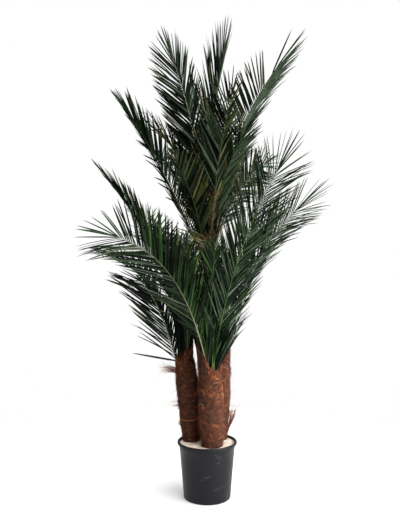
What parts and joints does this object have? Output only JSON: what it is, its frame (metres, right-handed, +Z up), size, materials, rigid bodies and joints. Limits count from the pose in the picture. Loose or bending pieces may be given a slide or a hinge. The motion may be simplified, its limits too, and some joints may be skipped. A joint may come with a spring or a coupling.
{
  "type": "potted artificial date palm tree",
  "caption": "Potted date palm: fibre-wrapped trunks of different heights in a filled nursery pot, each with its own crown of feather fronds.",
  "frame": {"origin": "middle of the pot's flat underside", "axes": "+Z up along the palm's height; -Y is the front; +X to the right seen from the front"},
  "size_m": [1.0923, 1.1051, 2.2008],
  "materials": {
    "pot": "black moulded nursery plastic, satin, lightly scuffed",
    "fill": "pale beige set fill, matt and slightly rough",
    "trunk": "trunk wrapped in matted brown palm fibre",
    "frond": "dark green leaflets, satin, some with olive and yellow tips"
  },
  "bodies": {
    "root": {"pot": "pot", "fill": "fill", "trunk_front": "trunk", "trunk_left": "trunk", "trunk_tall": "trunk", "frond_tall_01": "frond", "frond_tall_02": "frond", "frond_tall_03": "frond", "frond_tall_04": "frond", "frond_tall_05": "frond", "frond_tall_06": "frond", "frond_tall_07": "frond", "frond_tall_08": "frond", "frond_tall_09": "frond", "frond_tall_10": "frond", "frond_tall_11": "frond", "frond_tall_12": "frond", "frond_tall_13": "frond", "frond_front_01": "frond", "frond_front_02": "frond", "frond_front_03": "frond", "frond_front_04": "frond", "frond_front_05": "frond", "frond_front_06": "frond", "frond_front_07": "frond", "frond_left_01": "frond", "frond_left_02": "frond", "frond_left_03": "frond", "frond_left_04": "frond", "frond_left_05": "frond", "frond_left_06": "frond"}
  },
  "joints": []
}
